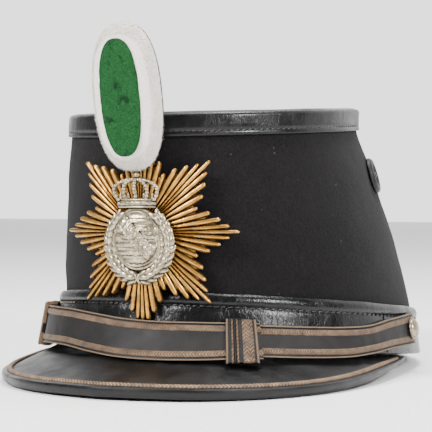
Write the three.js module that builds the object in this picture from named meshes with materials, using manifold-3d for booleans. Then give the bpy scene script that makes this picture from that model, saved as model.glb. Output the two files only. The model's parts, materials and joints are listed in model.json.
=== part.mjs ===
// A cloth-covered military shako: leather crown, head band and peak, a leather chin strap worn up on
// the peak, a gilt star with silver arms, and a white and green oval cockade.
// Millimetres, +Z up, the front of the hat faces -Y and the wearer's left is +X. The hat stands on the
// edge of its peak and on the rear of its head band, and the origin lies under the middle of it.

import * as THREE from 'three';
import { mergeVertices } from 'three/addons/utils/BufferGeometryUtils.js';
import Module from 'manifold-3d';

const wasm = await Module();
wasm.setup();

// ---------------------------------------------------------------- driving dimensions
// The hat frame has its origin in the middle of the head opening, in the plane of the band's lower edge.

const gap = 0.3;                 // air left between neighbouring pieces
const clothWall = 2.0;           // felt-covered board of the body
const leatherWall = 1.5;         // crown and head band
const ovalPower = 2.09;          // roundness of every horizontal outline, 2 is an ellipse

// Outline of the body from the head opening to the crown: height on the axis, slope of the row towards
// the front in degrees, shift of its middle forward and to the wearer's right, half length, half width.
const bodyRows = [
  { height: 0, slope: 0, forward: 0, right: 0, halfLength: 99.6, halfWidth: 82.1 },
  { height: 20, slope: 0, forward: 0.3, right: 0.4, halfLength: 97.0, halfWidth: 79.7 },
  { height: 37, slope: 1.6, forward: 6.0, right: 0.9, halfLength: 94.1, halfWidth: 77.6 },
  { height: 54, slope: 3.1, forward: 11.5, right: 1.4, halfLength: 90.7, halfWidth: 75.0 },
  { height: 71, slope: 4.7, forward: 18.5, right: 1.9, halfLength: 85.9, halfWidth: 71.3 },
  { height: 88, slope: 6.2, forward: 24.5, right: 2.5, halfLength: 81.7, halfWidth: 68.1 },
  { height: 105.4, slope: 7.8, forward: 31.2, right: 3.0, halfLength: 76.3, halfWidth: 63.9 },
  { height: 120, slope: 7.8, forward: 31.2, right: 3.0, halfLength: 76.3, halfWidth: 63.9 },
];
const rimBottom = 105.4;         // lower edge of the crown rim
const crownHeight = 116.2;       // flat top of the crown
const crownLeather = 2.0;

const band = { bottomLength: 102.2, bottomWidth: 84.6, topLength: 99.2, topWidth: 81.7, topRight: 0.8 };
const bandHeight = 22.5;         // at the sides
const bandRise = 2.1;            // more at the front and less at the rear

// Edge of the peak by angle from the front: how far it reaches past the band, and how far it drops.
const peakRows = [
  { angle: 0, reach: 40.9, drop: 19.7 },
  { angle: 20, reach: 36.7, drop: 19.1 },
  { angle: 40, reach: 25.4, drop: 16.85 },
  { angle: 60, reach: 11.5, drop: 12.5 },
  { angle: 75, reach: 3.4, drop: 7.6 },
  { angle: 86, reach: 0.8, drop: 3.8 },
];
const peakRoot = 3.5;            // how far the peak tucks in under the band
const peakWall = 2.0;
const peakContact = 40;          // angle at which the peak's edge meets the ground

// The chin strap's outer half by angle from the front: heights of its upper and lower edge and how far
// the strap stands out from the band at each. It sags onto the peak and rises to a button at each side.
const strapRows = [
  { angle: -96, top: 19.8, bottom: 4.4, topOut: 1.2, bottomOut: 0.5 },
  { angle: -75, top: 18.2, bottom: 1.6, topOut: 1.3, bottomOut: 1.3 },
  { angle: -60, top: 17.3, bottom: -0.2, topOut: 1.8, bottomOut: 2.3 },
  { angle: -29, top: 16.0, bottom: -0.5, topOut: 1.8, bottomOut: 3.4 },
  { angle: -16, top: 14.2, bottom: -2.5, topOut: 1.8, bottomOut: 5.0 },
  { angle: -6, top: 12.6, bottom: -4.0, topOut: 2.0, bottomOut: 7.2 },
  { angle: 5, top: 11.9, bottom: -4.5, topOut: 2.2, bottomOut: 8.6 },
  { angle: 17, top: 12.1, bottom: -3.9, topOut: 2.3, bottomOut: 8.8 },
  { angle: 29, top: 12.4, bottom: -2.6, topOut: 2.5, bottomOut: 8.8 },
  { angle: 43, top: 12.4, bottom: -2.6, topOut: 1.4, bottomOut: 4.8 },
  { angle: 58, top: 12.8, bottom: -2.0, topOut: 1.0, bottomOut: 3.0 },
  { angle: 68, top: 13.9, bottom: -0.3, topOut: 0.8, bottomOut: 1.8 },
  { angle: 78, top: 16.9, bottom: 2.0, topOut: 1.1, bottomOut: 1.0 },
  { angle: 96, top: 20.4, bottom: 4.4, topOut: 1.2, bottomOut: 0.5 },
];
const strapWall = 1.4;
const strapInset = 0.8;          // the under half is this much narrower along each edge
const sliderAngle = { left: 27.5, right: -57 };
const sliderWall = { back: 0.8, front: 1.2, edge: 1.7 };
const sliderDegrees = 7.8;       // width of a slider along the strap, about 12.5 mm
const buttonAngle = 92;
const buttonHeight = 12;
const buttonRadius = 5.2;
const buttonDome = 3.2;

const vent = { angle: 106.5, height: 83.5, radius: 8.7, throat: 4.6, post: 1.6, lip: 2.2 };

const star = { height: 49.7, front: 106.7, right: 1.0, lean: 5.9, bend: 91, radius: 42.8, groups: 8 };
const starRays = [0.66, 0.78, 0.9, 1, 0.9, 0.78, 0.66];   // lengths across one group, share of the radius
const starNotch = 0.9;           // depth of the notch between two rays, share of the shorter ray
const starTipWall = 1.1;
const starMiddleWall = 2.0;

const shield = { up: -2.8, halfWidth: 11.2, halfHeight: 13.1, rise: 6.2 };
const wreath = { up: -5.2, halfWidth: 14.6, halfHeight: 14.6, tube: 2.7 };
const armsCrown = { bandUp: 12.9, bandHeight: 3.4, halfWidth: 8.4, archTop: 21.6, ballUp: 24.6, ball: 1.5 };
const armsArches = [-1, -0.45, 0.1, 0.65, 1];
const archTube = 0.95;

const cockade = { height: 63, width: 31.5, thickness: 10.5, plate: 1.6, shoulder: 6.4, power: 2.5 };
const cockadePlace = { x: -2.6, y: -110.6, z: 76.0, forward: 11.0, roll: 3.0 };
const prong = { radius: 2.2, length: 4.2, up: 21 };      // post between the cockade and the crown rim
const inlay = { height: 50, width: 18.6, thickness: 0.8 };

// ---------------------------------------------------------------- tables and outlines

// Reads one column of a table at any place, on a smooth curve through its rows.
function tableAt(rows, key, column, at) {
  const last = rows.length - 1;
  let row = 0;
  while (row < last - 1 && at > rows[row + 1][key]) row += 1;
  const from = rows[row];
  const to = rows[row + 1];
  const span = to[key] - from[key];
  const t = THREE.MathUtils.clamp((at - from[key]) / span, 0, 1);
  const slopeAt = (i) => {
    const low = rows[Math.max(i - 1, 0)];
    const high = rows[Math.min(i + 1, last)];
    return (high[column] - low[column]) / (high[key] - low[key]);
  };
  const t2 = t * t;
  const t3 = t2 * t;
  return (2 * t3 - 3 * t2 + 1) * from[column] + (t3 - 2 * t2 + t) * span * slopeAt(row)
    + (3 * t2 - 2 * t3) * to[column] + (t3 - t2) * span * slopeAt(row + 1);
}

// A point of an oval outline. The angle runs from the front towards the wearer's left.
function ovalPoint(halfLength, halfWidth, angle, outward, power = ovalPower) {
  const a = THREE.MathUtils.degToRad(angle);
  const s = Math.sin(a);
  const c = Math.cos(a);
  const size = (Math.abs(s) ** power + Math.abs(c) ** power) ** (-1 / power);
  const x = halfWidth * size * s;
  const y = -halfLength * size * c;
  const normalX = Math.sign(x) * Math.abs(x / halfWidth) ** (power - 1) / halfWidth;
  const normalY = Math.sign(y) * Math.abs(y / halfLength) ** (power - 1) / halfLength;
  const length = Math.hypot(normalX, normalY);
  return { x: x + outward * normalX / length, y: y + outward * normalY / length };
}

function bodyPoint(angle, height, outward) {
  const row = (column) => tableAt(bodyRows, 'height', column, height);
  const p = ovalPoint(row('halfLength'), row('halfWidth'), angle, outward);
  const y = p.y - row('forward');
  const slope = Math.tan(THREE.MathUtils.degToRad(row('slope')));
  return new THREE.Vector3(p.x - row('right'), y, height + slope * y);
}

function bandPoint(angle, height, outward) {
  const share = height / bandHeight;
  const halfLength = THREE.MathUtils.lerp(band.bottomLength, band.topLength, share);
  const halfWidth = THREE.MathUtils.lerp(band.bottomWidth, band.topWidth, share);
  const p = ovalPoint(halfLength, halfWidth, angle, outward);
  return new THREE.Vector3(p.x - band.topRight * share, p.y, height);
}

// A point of the peak: inward from its lower edge along the slope, and up square to the slope.
function peakPoint(angle, inwardFull, upFull) {
  const at = Math.abs(angle);
  const reach = tableAt(peakRows, 'angle', 'reach', at);
  const drop = tableAt(peakRows, 'angle', 'drop', at);
  const slope = peakSlope(at);
  const inward = inwardFull * peakThinning(at);
  const up = upFull * peakThinning(at);
  const outward = reach - inward * Math.cos(slope) + up * Math.sin(slope);
  const p = ovalPoint(band.bottomLength, band.bottomWidth, angle, outward);
  return new THREE.Vector3(p.x, p.y, -drop + inward * Math.sin(slope) + up * Math.cos(slope));
}

const peakTop = 1 + gap + peakWall;      // upper face of the peak over the lower face of its binding

// The leather is pared down towards the two ends of the peak.
function peakThinning(angle) {
  return 1 - 0.4 * THREE.MathUtils.smoothstep(angle, 62, 86);
}

function peakSlope(angle) {
  const reach = tableAt(peakRows, 'angle', 'reach', angle);
  const drop = tableAt(peakRows, 'angle', 'drop', angle);
  return Math.atan2(drop - peakTop * peakThinning(angle) - gap, reach + peakRoot);
}

function peakLength(angle) {
  const at = Math.abs(angle);
  const reach = tableAt(peakRows, 'angle', 'reach', at);
  return (reach + peakRoot) / Math.cos(peakSlope(at)) / peakThinning(at);
}

// A point of the strap: down from its upper edge, out from its inner face, and its share of the height.
function strapPoint(angle, down, outward) {
  const row = (column) => tableAt(strapRows, 'angle', column, angle);
  const height = row('top') - row('bottom');
  const share = down / height;
  const out = THREE.MathUtils.lerp(row('topOut'), row('bottomOut'), share);
  return bandPoint(angle, row('top') - down, out + outward);
}

function strapHeight(angle) {
  return tableAt(strapRows, 'angle', 'top', angle) - tableAt(strapRows, 'angle', 'bottom', angle);
}

// ---------------------------------------------------------------- shaping helpers

// Moves every vertex of a ready geometry and turns its faces outward.
function bend(geometry, place) {
  const bent = geometry.clone();
  bent.deleteAttribute('normal');
  bent.deleteAttribute('uv');
  bent.clearGroups();
  const position = bent.getAttribute('position');
  const v = new THREE.Vector3();
  for (let i = 0; i < position.count; i += 1) {
    v.fromBufferAttribute(position, i);
    const p = place(v.x, v.y, v.z);
    position.setXYZ(i, p.x, p.y, p.z);
  }
  return facingOut(mergeVertices(bent, 1e-4));
}

function facingOut(geometry) {
  const position = geometry.getAttribute('position');
  const kept = [];
  const a = new THREE.Vector3();
  const b = new THREE.Vector3();
  const c = new THREE.Vector3();
  let volume = 0;
  for (let i = 0; i < geometry.index.count; i += 3) {
    const [p, q, r] = [0, 1, 2].map((n) => geometry.index.getX(i + n));
    if (p === q || q === r || r === p) continue;
    kept.push(p, q, r);
    a.fromBufferAttribute(position, p);
    b.fromBufferAttribute(position, q);
    c.fromBufferAttribute(position, r);
    volume += a.dot(b.cross(c));
  }
  if (volume < 0) kept.reverse();
  geometry.setIndex(kept);
  return geometry;
}

// A closed ring around the hat from a closed profile of [outward, height] points.
function ringAround(profile, segments, place) {
  const base = 500;
  const points = [...profile, profile[0]].map(([out, up]) => new THREE.Vector2(base + out, up));
  const lathe = new THREE.LatheGeometry(points, segments);
  return bend(lathe, (x, y, z) => {
    const angle = THREE.MathUtils.radToDeg(Math.atan2(x, z));
    return place(angle, y, Math.hypot(x, z) - base);
  });
}

// A bar with an outline of [first, second] points, swept from one angle to another.
function barAround(outline, fromAngle, toAngle, steps, place) {
  const shape = new THREE.Shape(outline.map(([first, second]) => new THREE.Vector2(first, second)));
  const bar = new THREE.ExtrudeGeometry(shape, { depth: toAngle - fromAngle, steps, bevelEnabled: false });
  return bend(bar, (x, y, z) => place(fromAngle + z, x, y));
}

function toSolid(geometry) {
  const plain = geometry.clone();
  plain.deleteAttribute('normal');
  plain.deleteAttribute('uv');
  const merged = facingOut(mergeVertices(plain, 1e-4));
  const vertProperties = new Float32Array(merged.getAttribute('position').array);
  const triVerts = new Uint32Array(merged.index.array);
  return new wasm.Manifold(new wasm.Mesh({ numProp: 3, vertProperties, triVerts }));
}

function fromSolid(solid) {
  const mesh = solid.getMesh();
  const geometry = new THREE.BufferGeometry();
  geometry.setAttribute('position', new THREE.BufferAttribute(mesh.vertProperties, 3));
  geometry.setIndex(new THREE.BufferAttribute(mesh.triVerts, 1));
  return geometry;
}

function joined(geometries) {
  return fromSolid(geometries.map(toSolid).reduce((whole, next) => whole.add(next)));
}

function material(color, roughness, metalness) {
  return new THREE.MeshStandardMaterial({ color, roughness, metalness });
}

const hat = new THREE.Group();

function addMesh(name, geometry, look, parent = hat) {
  const mesh = new THREE.Mesh(geometry, look);
  mesh.name = name;
  parent.add(mesh);
  return mesh;
}

const cloth = material('#1f1d20', 0.95, 0);
const lacquer = material('#141416', 0.3, 0);
const strapLeather = material('#2c2829', 0.6, 0);
const braid = material('#8d7558', 0.7, 0);
const gilt = material('#c79a4f', 0.35, 1);
const silver = material('#c9c0b0', 0.35, 1);
const whiteWool = material('#e9e4df', 1, 0);
const greenWool = material('#2f6b3c', 1, 0);
const blackened = material('#1b1a1b', 0.5, 0.6);

// ---------------------------------------------------------------- body, crown and head band

const bodySegments = 60;
const clothHeights = [2, 11, 20, 37, 54, 71, 88, 105.4];
const clothTop = crownHeight - crownLeather - 3 * gap;

function clothBody() {
  const outside = [...clothHeights, clothTop].map((height) => [0, height]);
  const inside = [...clothHeights, clothTop].reverse().map((height) => [-clothWall, height]);
  return ringAround([...outside, ...inside], bodySegments, bodyPoint);
}

function headBand() {
  // Heights are given at the sides. Above the lower third the band grows towards the front.
  const place = (angle, height, outward) => {
    const rise = bandRise * Math.cos(THREE.MathUtils.degToRad(angle)) * Math.max(height / bandHeight, 0);
    const full = height + rise;
    if (outward > -0.5) return bandPoint(angle, full, outward);
    return bodyPoint(angle, full, 2 * gap);
  };
  const strip = 0.5;             // raised roll along the upper edge
  const profile = [
    [0, 0], [0, 9], [0, 17.6], [strip, 18.2], [strip, 21.6], [0, bandHeight],
    [-1, bandHeight], [-1, 17.6], [-1, 9], [-1, 0],
  ];
  return ringAround(profile, bodySegments, place);
}

function crownRim() {
  const inner = gap;
  const outer = gap + leatherWall;
  const profile = [
    [inner, rimBottom], [outer, rimBottom], [outer, crownHeight - 3.4], [outer - 0.5, crownHeight - 1.4],
    [outer - 1.4, crownHeight - 0.5], [inner - 0.4, crownHeight - 0.5], [inner - 0.4, crownHeight - 2.2],
    [inner, crownHeight - 2.5],
  ];
  return ringAround(profile, bodySegments, bodyPoint);
}

function crownTop() {
  // A flat leather disc inside the rim. Its outline follows the body's, a little smaller.
  const edge = -0.4 - gap;
  const low = crownHeight - crownLeather;
  const disc = new THREE.CylinderGeometry(1, 1, 1, bodySegments, 1);
  return bend(disc, (x, y, z) => {
    const share = Math.hypot(x, z);
    const height = y > 0 ? crownHeight : low;
    const middle = bodyPoint(0, height, edge).add(bodyPoint(180, height, edge)).multiplyScalar(0.5);
    if (share < 0.5) return middle;
    return bodyPoint(THREE.MathUtils.radToDeg(Math.atan2(x, z)), height, edge);
  });
}

addMesh('cloth_body', clothBody(), cloth);
addMesh('head_band', headBand(), lacquer);
addMesh('crown_rim', crownRim(), lacquer);
addMesh('crown_top', crownTop(), lacquer);

// ---------------------------------------------------------------- peak

const peakEnd = peakRows[peakRows.length - 1].angle;
const peakSteps = 32;

function peakPlate() {
  // The outline's first value is the share of the way in from the edge.
  const shares = [0, 0.25, 0.5, 0.75, 1];
  const low = 1 + gap;
  const lower = shares.map((share) => [share, low]);
  const upper = [...shares].reverse().map((share) => [share, peakTop]);
  const start = 1 + gap;
  return barAround([...lower, ...upper], -peakEnd, peakEnd, peakSteps, (angle, share, up) => {
    const inward = THREE.MathUtils.lerp(start, peakLength(angle), share);
    return peakPoint(angle, inward, up);
  });
}

function peakBinding() {
  const roof = peakTop + gap;
  const top = roof + 0.9;
  const outline = [
    [0.5, 0], [3, 0], [3, 1], [1, 1], [1, roof], [3, roof], [3, top], [0.7, top], [0, top - 0.9], [0, 0.6],
  ];
  return barAround(outline, -peakEnd, peakEnd, peakSteps, peakPoint);
}

function peakPiping() {
  const floor = peakTop + gap;
  const outline = [[3.3, floor], [5.2, floor], [5.2, floor + 0.7], [4.25, floor + 1.2], [3.3, floor + 0.7]];
  return barAround(outline, -peakEnd + 6, peakEnd - 6, peakSteps, peakPoint);
}

addMesh('peak', peakPlate(), lacquer);
addMesh('peak_binding', peakBinding(), lacquer);
addMesh('peak_piping', peakPiping(), braid);

// ---------------------------------------------------------------- chin strap, sliders and buttons

const strapLayer = strapWall + gap;
const strapEnd = 95.5;
const strapPastSlider = 5;       // degrees of each half that run on under its slider

// One half of the strap. The layer says how many strap thicknesses lie under it at an angle.
function strapHalf(fromAngle, toAngle, inset, layerAt, steps) {
  const outline = [[0, 0], [0.5, 0], [1, 0], [1, strapWall], [0.5, strapWall], [0, strapWall]];
  return barAround(outline, fromAngle, toAngle, steps, (angle, share, outward) => {
    const down = THREE.MathUtils.lerp(inset, strapHeight(angle) - inset, share);
    return strapPoint(angle, down, outward + layerAt(angle) * strapLayer);
  });
}

// The half from the wearer's left runs under the other one as far as the slider on the right.
function underHalf() {
  return strapHalf(sliderAngle.right - strapPastSlider, strapEnd, strapInset, () => 0, 52);
}

// The half from the wearer's right comes down to the band beyond the end of the under half.
function outerHalf() {
  const landing = sliderAngle.right - strapPastSlider - 2;
  const layerAt = (angle) => THREE.MathUtils.smoothstep(angle, landing - 12, landing);
  return strapHalf(-strapEnd, sliderAngle.left + strapPastSlider, 0, layerAt, 46);
}

function slider(angle) {
  const height = strapHeight(angle);
  const back = -gap;
  const front = strapLayer + strapWall + gap;
  const rectangle = (edge, low, high) => [
    new THREE.Vector2(-edge, low), new THREE.Vector2(height / 2, low), new THREE.Vector2(height + edge, low),
    new THREE.Vector2(height + edge, high), new THREE.Vector2(height / 2, high), new THREE.Vector2(-edge, high),
  ];
  const outer = rectangle(gap + sliderWall.edge, back - sliderWall.back, front + sliderWall.front);
  const shape = new THREE.Shape(outer);
  shape.holes.push(new THREE.Path(rectangle(gap, back, front)));
  const sleeve = new THREE.ExtrudeGeometry(shape, { depth: sliderDegrees, steps: 4, bevelEnabled: false });
  return bend(sleeve, (x, y, z) => {
    const at = angle - sliderDegrees / 2 + z;
    return strapPoint(at, x * strapHeight(at) / height, y);
  });
}

// Stands a piece made along +Z on a surface, at a point and facing along the surface's normal.
function standOn(mesh, surface, angle, height, outward) {
  const at = surface(angle, height, outward);
  const beside = surface(angle + 1, height, outward).sub(at);
  const above = surface(angle, height + 1, outward).sub(at);
  const normal = beside.cross(above).normalize();
  mesh.position.copy(at);
  mesh.quaternion.setFromUnitVectors(new THREE.Vector3(0, 0, 1), normal);
}

function turned(profile, segments) {
  const lathe = new THREE.LatheGeometry(profile.map(([r, z]) => new THREE.Vector2(r, z)), segments);
  lathe.rotateX(Math.PI / 2);
  return bend(lathe, (x, y, z) => new THREE.Vector3(x, y, z));
}

function button() {
  const rim = 0.8;
  const profile = [[0, 0], [buttonRadius, 0], [buttonRadius, rim]];
  for (let step = 1; step < 5; step += 1) {
    const turn = step / 5 * Math.PI / 2;
    profile.push([buttonRadius * Math.cos(turn), rim + (buttonDome - rim) * Math.sin(turn)]);
  }
  profile.push([0, buttonDome]);
  return turned(profile, 18);
}

addMesh('strap_under_half', underHalf(), strapLeather);
addMesh('strap_outer_half', outerHalf(), strapLeather);
for (const side of ['left', 'right']) {
  addMesh(`slider_${side}`, slider(sliderAngle[side]), strapLeather);
  const knob = addMesh(`button_${side}`, button(), silver);
  const angle = side === 'left' ? buttonAngle : -buttonAngle;
  standOn(knob, bandPoint, angle, buttonHeight, 0.8 + strapWall + 0.6);
}

// ---------------------------------------------------------------- side vents

function ventCup() {
  const { radius, throat, post, lip } = vent;
  const floor = 0.8;
  return turned([
    [0, 0], [radius, 0], [radius, 0.8], [radius - 0.9, lip], [throat + 1.2, lip - 0.3], [throat, floor],
    [post, floor], [post * 0.8, lip], [0, lip],
  ], 20);
}

for (const side of ['left', 'right']) {
  const cup = addMesh(`vent_${side}`, ventCup(), blackened);
  standOn(cup, bodyPoint, side === 'left' ? vent.angle : -vent.angle, vent.height, gap);
}

// ---------------------------------------------------------------- star and arms
// Made flat, X to the wearer's left, Y up the star and Z out of it, then bent round an upright cylinder.

const starGroup = new THREE.Group();
starGroup.position.set(-star.right, -star.front, star.height);
starGroup.rotation.set(Math.PI / 2 + THREE.MathUtils.degToRad(star.lean), 0, 0);
hat.add(starGroup);

function starBent(x, y, z) {
  const turn = x / star.bend;
  const radius = star.bend + z;
  return new THREE.Vector3(radius * Math.sin(turn), y, radius * Math.cos(turn) - star.bend);
}

function starPlate() {
  const perGroup = starRays.length;
  const points = star.groups * perGroup * 2;      // a tip and a notch for each ray
  const middleTip = perGroup - 1;
  const radiusAt = (point) => {
    const ray = (p) => star.radius * starRays[(((p / 2) % perGroup) + perGroup) % perGroup];
    if (point % 2 === 0) return ray(point);
    return starNotch * Math.min(ray(point - 1), ray(point + 1));
  };
  const profile = [[0, -starTipWall], [0.5, -starTipWall], [1, -starTipWall],
    [1, 0], [0.3, starMiddleWall], [0, starMiddleWall]];
  const disc = new THREE.LatheGeometry(profile.map(([r, z]) => new THREE.Vector2(r, z)), points);
  return bend(disc, (x, z, y) => {
    const share = Math.hypot(x, y);
    const turn = Math.atan2(x, y);
    const point = Math.round(turn / (2 * Math.PI) * points) + middleTip + points;
    const radius = share * radiusAt(point % points);
    return starBent(radius * Math.sin(turn), radius * Math.cos(turn), z);
  });
}

function ovalDome(halfWidth, halfHeight, rise, up) {
  const profile = [[0, 0], [1, 0], [1, 0.3]];
  for (let step = 1; step < 4; step += 1) {
    const turn = step / 4 * Math.PI / 2;
    profile.push([Math.cos(turn), 0.3 + 0.7 * Math.sin(turn)]);
  }
  profile.push([0, 1]);
  const dome = turned(profile, 24);
  return bend(dome, (x, y, z) => new THREE.Vector3(x * halfWidth, up + y * halfHeight, z * rise));
}

function armsPiece() {
  const dome = ovalDome(shield.halfWidth, shield.halfHeight, shield.rise, shield.up);
  const ring = new THREE.TorusGeometry(wreath.halfWidth, wreath.tube, 6, 28);
  ring.scale(1, wreath.halfHeight / wreath.halfWidth, 1);
  ring.translate(0, wreath.up, wreath.tube);
  const base = new THREE.BoxGeometry(armsCrown.halfWidth * 2, armsCrown.bandHeight, 3.4, 6, 1, 1);
  base.translate(0, armsCrown.bandUp, 2.6);
  const pieces = [dome, ring, base];
  for (const lean of armsArches) {
    const foot = new THREE.Vector3(lean * armsCrown.halfWidth * 0.9, armsCrown.bandUp, 2.2);
    const knee = new THREE.Vector3(lean * armsCrown.halfWidth * 1.25, armsCrown.bandUp + 5.2, 3.2);
    const top = new THREE.Vector3(0, armsCrown.archTop, 2.6);
    const route = new THREE.CatmullRomCurve3([foot, knee, top]);
    const section = new THREE.Shape();
    section.absellipse(0, 0, archTube, archTube, 0, 2 * Math.PI);
    pieces.push(new THREE.ExtrudeGeometry(section, { steps: 5, extrudePath: route, curveSegments: 2 }));
  }
  const ball = new THREE.SphereGeometry(armsCrown.ball, 8, 6);
  ball.translate(0, armsCrown.ballUp, 2.6);
  const stem = new THREE.CylinderGeometry(1, 1, 4, 10);
  stem.translate(0, armsCrown.ballUp - 2, 2.6);
  pieces.push(ball, stem);
  const whole = joined(pieces);
  return bend(whole, (x, y, z) => starBent(x, y, starMiddleWall + gap + z));
}

addMesh('star', starPlate(), gilt, starGroup);
addMesh('arms', armsPiece(), silver, starGroup);

// ---------------------------------------------------------------- cockade
// Made upright from its lower tip, X across, Y up and Z out of its face.

const cockadeGroup = new THREE.Group();
cockadeGroup.position.set(cockadePlace.x, cockadePlace.y, cockadePlace.z);
cockadeGroup.rotation.set(
  Math.PI / 2 + THREE.MathUtils.degToRad(cockadePlace.forward),
  0,
  THREE.MathUtils.degToRad(cockadePlace.roll),
);
hat.add(cockadeGroup);

// A long oval with round ends and nearly straight sides.
function longOval(height, width) {
  const points = [];
  const count = 40;
  for (let step = 0; step < count; step += 1) {
    const p = ovalPoint(height / 2, width / 2, step / count * 360, 0, cockade.power);
    points.push(new THREE.Vector2(p.x, cockade.height / 2 + p.y));
  }
  return new THREE.Shape(points);
}

function ovalPlate(height, width, thickness, from) {
  const plate = new THREE.ExtrudeGeometry(longOval(height, width), { depth: thickness, bevelEnabled: false });
  return bend(plate, (x, y, z) => new THREE.Vector3(x, y, from + z));
}

const padBulge = cockade.thickness - cockade.plate - gap;
const padBack = cockade.plate + gap;

function ovalPad() {
  const core = longOval(cockade.height - 2 * cockade.shoulder, cockade.width - 2 * cockade.shoulder);
  const pad = new THREE.ExtrudeGeometry(core, {
    depth: 0.01, steps: 1, bevelThickness: padBulge, bevelSize: cockade.shoulder, bevelSegments: 4,
  });
  const rounded = toSolid(bend(pad, (x, y, z) => new THREE.Vector3(x, y, z)));
  const front = new THREE.BoxGeometry(200, 200, 100);
  front.translate(0, 0, 50);
  const pocketFloor = padBulge - inlay.thickness - gap;
  const pocket = ovalPlate(inlay.height + 2 * gap, inlay.width + 2 * gap, 20, pocketFloor);
  const pad1 = fromSolid(rounded.intersect(toSolid(front)).subtract(toSolid(pocket)));
  return bend(pad1, (x, y, z) => new THREE.Vector3(x, y, z + padBack));
}

const inlayFrom = padBack + padBulge - inlay.thickness;
const backPlate = ovalPlate(cockade.height - 0.6, cockade.width - 0.6, cockade.plate, 0);
const post = new THREE.CylinderGeometry(prong.radius, prong.radius, prong.length, 16);
const postPlaced = bend(post, (x, y, z) => new THREE.Vector3(x, prong.up + z, y - gap - prong.length / 2));
addMesh('cockade_back', backPlate, blackened, cockadeGroup);
addMesh('cockade_prong', postPlaced, blackened, cockadeGroup);
addMesh('cockade_pad', ovalPad(), whiteWool, cockadeGroup);
addMesh('cockade_inlay', ovalPlate(inlay.height, inlay.width, inlay.thickness, inlayFrom), greenWool, cockadeGroup);

// ---------------------------------------------------------------- the hat at rest
// It tips back until the rear of the band touches the ground together with the edge of the peak.

const contact = peakPoint(peakContact, 0, 0);
const rear = bandPoint(180, 0, 0);
const tipBack = Math.atan2(rear.z - contact.z, rear.y - contact.y);
hat.rotation.x = -tipBack;
hat.updateMatrixWorld(true);
const box = new THREE.Box3().setFromObject(hat, true);
const middle = box.getCenter(new THREE.Vector3());
hat.position.set(-middle.x, -middle.y, -box.min.z);

export default hat;
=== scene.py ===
# The looks of a black military shako: worn felted cloth, crackled lacquered leather, a braided chin
# strap, a gilt star with silver arms and a wool cockade. It runs as a script and is laid out as an add-on.
import json
import math
import random

import bpy
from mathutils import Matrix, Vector, noise

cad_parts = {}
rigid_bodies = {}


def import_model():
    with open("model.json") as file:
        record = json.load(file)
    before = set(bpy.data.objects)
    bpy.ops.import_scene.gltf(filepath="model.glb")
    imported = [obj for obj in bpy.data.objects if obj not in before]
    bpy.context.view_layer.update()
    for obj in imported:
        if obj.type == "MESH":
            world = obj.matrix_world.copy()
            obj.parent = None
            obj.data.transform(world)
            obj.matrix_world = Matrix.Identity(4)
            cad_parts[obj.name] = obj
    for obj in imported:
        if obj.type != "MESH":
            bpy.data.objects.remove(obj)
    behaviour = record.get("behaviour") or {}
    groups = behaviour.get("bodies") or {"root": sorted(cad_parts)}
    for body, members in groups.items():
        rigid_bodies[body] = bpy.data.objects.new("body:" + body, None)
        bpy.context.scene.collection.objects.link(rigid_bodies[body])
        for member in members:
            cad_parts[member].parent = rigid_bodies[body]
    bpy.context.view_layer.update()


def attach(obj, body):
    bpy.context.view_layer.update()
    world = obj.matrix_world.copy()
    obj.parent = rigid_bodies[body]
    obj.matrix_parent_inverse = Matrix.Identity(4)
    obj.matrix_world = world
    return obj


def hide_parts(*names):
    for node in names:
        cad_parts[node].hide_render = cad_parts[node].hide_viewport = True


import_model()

bl_info = {
    "name": "Military shako",
    "version": (1, 0, 0),
    "blender": (4, 5, 0),
    "location": "View3D > Sidebar > Shako",
    "description": "Builds a cloth and leather shako with its star, chin strap and cockade",
    "category": "Add Mesh",
}

MM = 0.001
OVAL = 2.09    # roundness of the outlines, 2 is an ellipse
AIR = 0.3      # gap between neighbouring pieces

# Place of the hat frame in the row frame: it tips back on the edge of its peak.
TIP_BACK = math.radians(4.8249)
HAT_AT = Vector((0.3844, 21.6751, 8.5962))

# Height, slope in degrees, forward, right, half length, half width.
BODY_ROWS = [
    (0, 0, 0, 0, 99.6, 82.1),
    (20, 0, 0.3, 0.4, 97.0, 79.7),
    (37, 1.6, 6.0, 0.9, 94.1, 77.6),
    (54, 3.1, 11.5, 1.4, 90.7, 75.0),
    (71, 4.7, 18.5, 1.9, 85.9, 71.3),
    (88, 6.2, 24.5, 2.5, 81.7, 68.1),
    (105.4, 7.8, 31.2, 3.0, 76.3, 63.9),
    (120, 7.8, 31.2, 3.0, 76.3, 63.9),
]
# Angle from the front, reach past the band, drop of the edge.
PEAK_ROWS = [
    (0, 40.9, 19.7),
    (20, 36.7, 19.1),
    (40, 25.4, 16.85),
    (60, 11.5, 12.5),
    (75, 3.4, 7.6),
    (86, 0.8, 3.8),
]
# Angle from the front, upper edge, lower edge, and how far each edge stands out.
STRAP_ROWS = [
    (-96, 19.8, 4.4, 1.2, 0.5),
    (-75, 18.2, 1.6, 1.3, 1.3),
    (-60, 17.3, -0.2, 1.8, 2.3),
    (-29, 16.0, -0.5, 1.8, 3.4),
    (-16, 14.2, -2.5, 1.8, 5.0),
    (-6, 12.6, -4.0, 2.0, 7.2),
    (5, 11.9, -4.5, 2.2, 8.6),
    (17, 12.1, -3.9, 2.3, 8.8),
    (29, 12.4, -2.6, 2.5, 8.8),
    (43, 12.4, -2.6, 1.4, 4.8),
    (58, 12.8, -2.0, 1.0, 3.0),
    (68, 13.9, -0.3, 0.8, 1.8),
    (78, 16.9, 2.0, 1.1, 1.0),
    (96, 20.4, 4.4, 1.2, 0.5),
]
RIM_LOW = 105.4
CROWN_HEIGHT = 116.2
STRAP_WALL = 1.4
STRAP_LAYER = 1.7         # one thickness of strap and the air under it
STRAP_END = 95.5          # angle at which the strap ends under its button
SLIDERS = {"left": 27.5, "right": -57.0}
SLIDER_DEGREES = 7.8
SLIDER_WIDTH = 12.5
BUTTON_ANGLE = 92
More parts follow.
